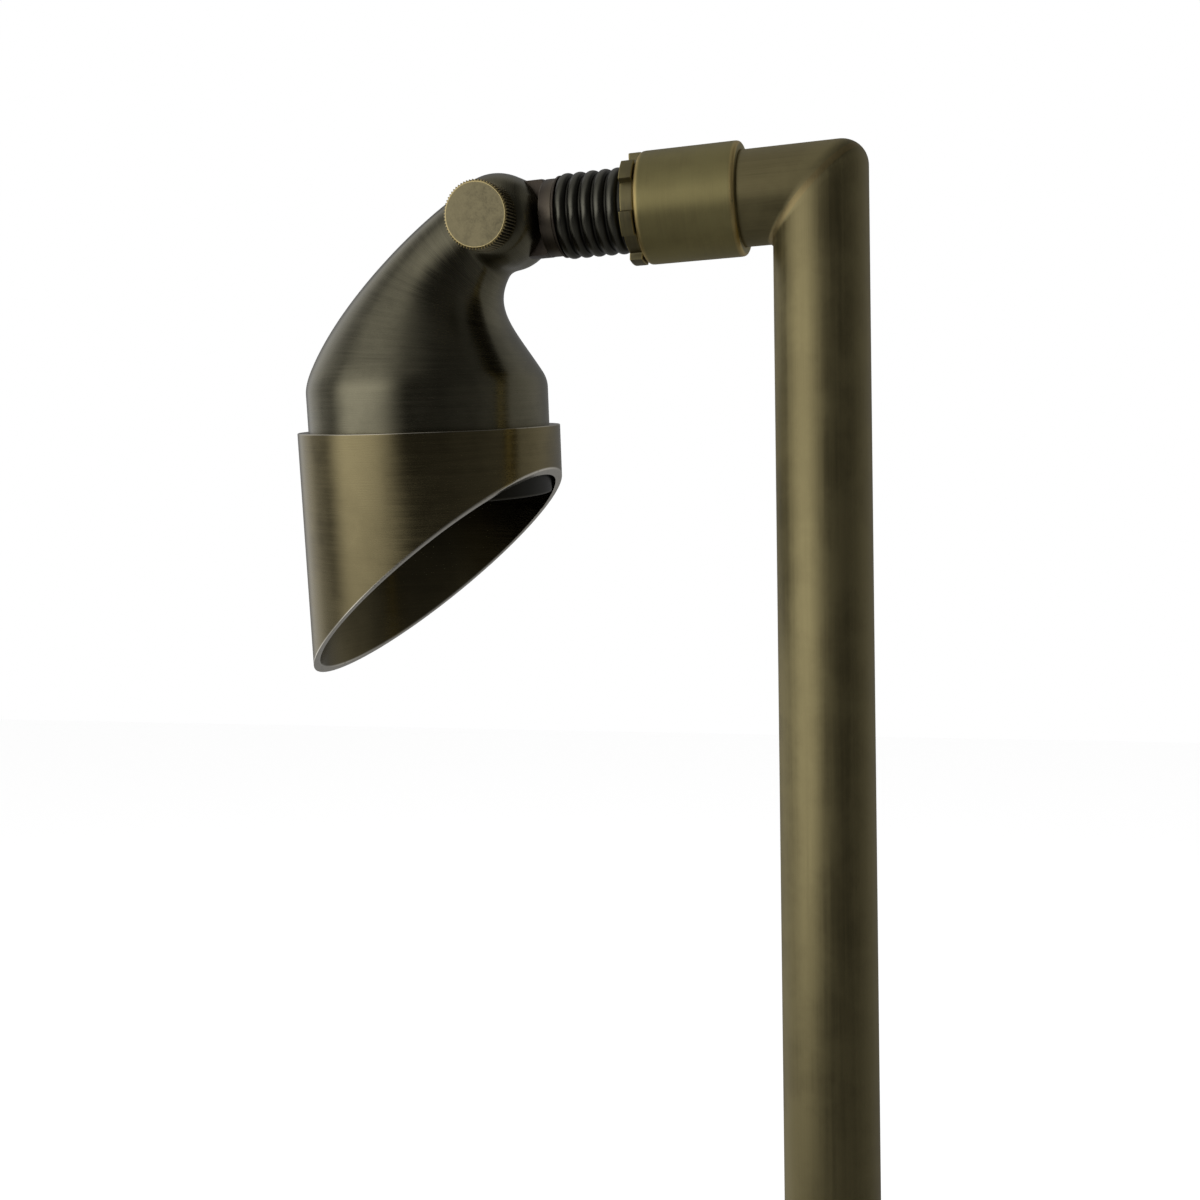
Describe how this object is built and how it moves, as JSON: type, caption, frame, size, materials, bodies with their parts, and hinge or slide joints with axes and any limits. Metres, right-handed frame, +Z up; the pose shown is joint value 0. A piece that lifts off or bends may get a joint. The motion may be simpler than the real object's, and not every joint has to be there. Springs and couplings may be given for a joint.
{
  "type": "path light",
  "caption": "Garden path light on a bent tube post: a swivel collar, a ribbed stem and a tilting bell head with a slant-cut glare shroud.",
  "frame": {"origin": "on the post's axis at the foot's shoulder, where the threaded stub begins", "axes": "+Z up the post, -X along the arm towards the head, -Y towards the thumb screw"},
  "size_m": [0.1514, 0.074, 0.4722],
  "materials": {
    "antique_brass": "brushed antique bronze",
    "light_brass": "brushed, lighter patina",
    "dark_brass": "dark patina",
    "braze": "ground braze",
    "steel": "bright",
    "boot_rubber": "satin",
    "seal_rubber": "matt",
    "lead_jacket": "matt jacket",
    "wire_jacket": "matt jacket",
    "nylon": "natural",
    "black_plastic": "matt",
    "ceramic": "glazed ceramic",
    "reflector_glass": "coated glass",
    "clear_glass": "clear"
  },
  "bodies": {
    "base": {"post_tube": "antique_brass", "arm_tube": "antique_brass", "elbow_braze": "braze", "foot_bushing": "antique_brass", "foot_grommet": "seal_rubber", "supply_lead": "lead_jacket", "coupler_collar": "light_brass", "arm_seal": "seal_rubber"},
    "stem": {"knuckle_stem": "dark_brass", "ribbed_boot": "boot_rubber", "boot_washer": "dark_brass", "stem_o_ring": "seal_rubber", "stem_wires": "wire_jacket"},
    "nut": {"locknut": "dark_brass"},
    "head": {"neck_housing": "antique_brass", "friction_washers": "nylon", "thread_insert": "steel", "head_wires": "wire_jacket", "lamp_socket": "ceramic", "socket_screws": "steel", "lamp_base": "ceramic", "lamp_pins": "steel", "lamp_reflector": "reflector_glass", "lamp_capsule": "clear_glass", "lamp_cover": "clear_glass", "lamp_retainer": "black_plastic", "lens_gasket": "seal_rubber", "lens_glass": "clear_glass", "lens_ring": "dark_brass", "body_o_rings": "seal_rubber"},
    "guard": {"shroud": "antique_brass"},
    "clamp_washer": {"knob_washer": "dark_brass"},
    "clamp_screw": {"thumb_knob": "light_brass", "thumb_stud": "steel"}
  },
  "joints": [
    {"name": "stem_swivel", "type": "hinge", "parent": "base", "child": "stem", "pos_m": [-0.0788, 0, 0.445], "axis": [1, 0, 0], "range_deg": [-90, 90]},
    {"name": "locknut_turn", "type": "hinge", "parent": "stem", "child": "nut", "pos_m": [-0.0439, 0, 0.445], "axis": [1, 0, 0], "range_deg": [-45, 45]},
    {"name": "head_tilt", "type": "hinge", "parent": "stem", "child": "head", "pos_m": [-0.0788, 0, 0.445], "axis": [0, 0.9877, 0.1564], "range_deg": [-20, 100]},
    {"name": "shroud_turn", "type": "hinge", "parent": "head", "child": "guard", "pos_m": [-0.10189, -0.00009, 0.4456], "axis": [-0.0262, 0.1564, -0.9873], "continuous": true},
    {"name": "thumb_slide", "type": "slide", "parent": "head", "child": "clamp_washer", "axis": [0, -0.9877, -0.1564], "range_m": [0, 0.0016]},
    {"name": "thumb_turn", "type": "hinge", "parent": "clamp_washer", "child": "clamp_screw", "pos_m": [-0.0788, 0, 0.445], "axis": [0, -0.9877, -0.1564], "range_deg": [0, 720.1]}
  ],
  "couplings": [
    {"joint": "thumb_turn", "follows": "thumb_slide", "rad_per_m": 7854}
  ]
}
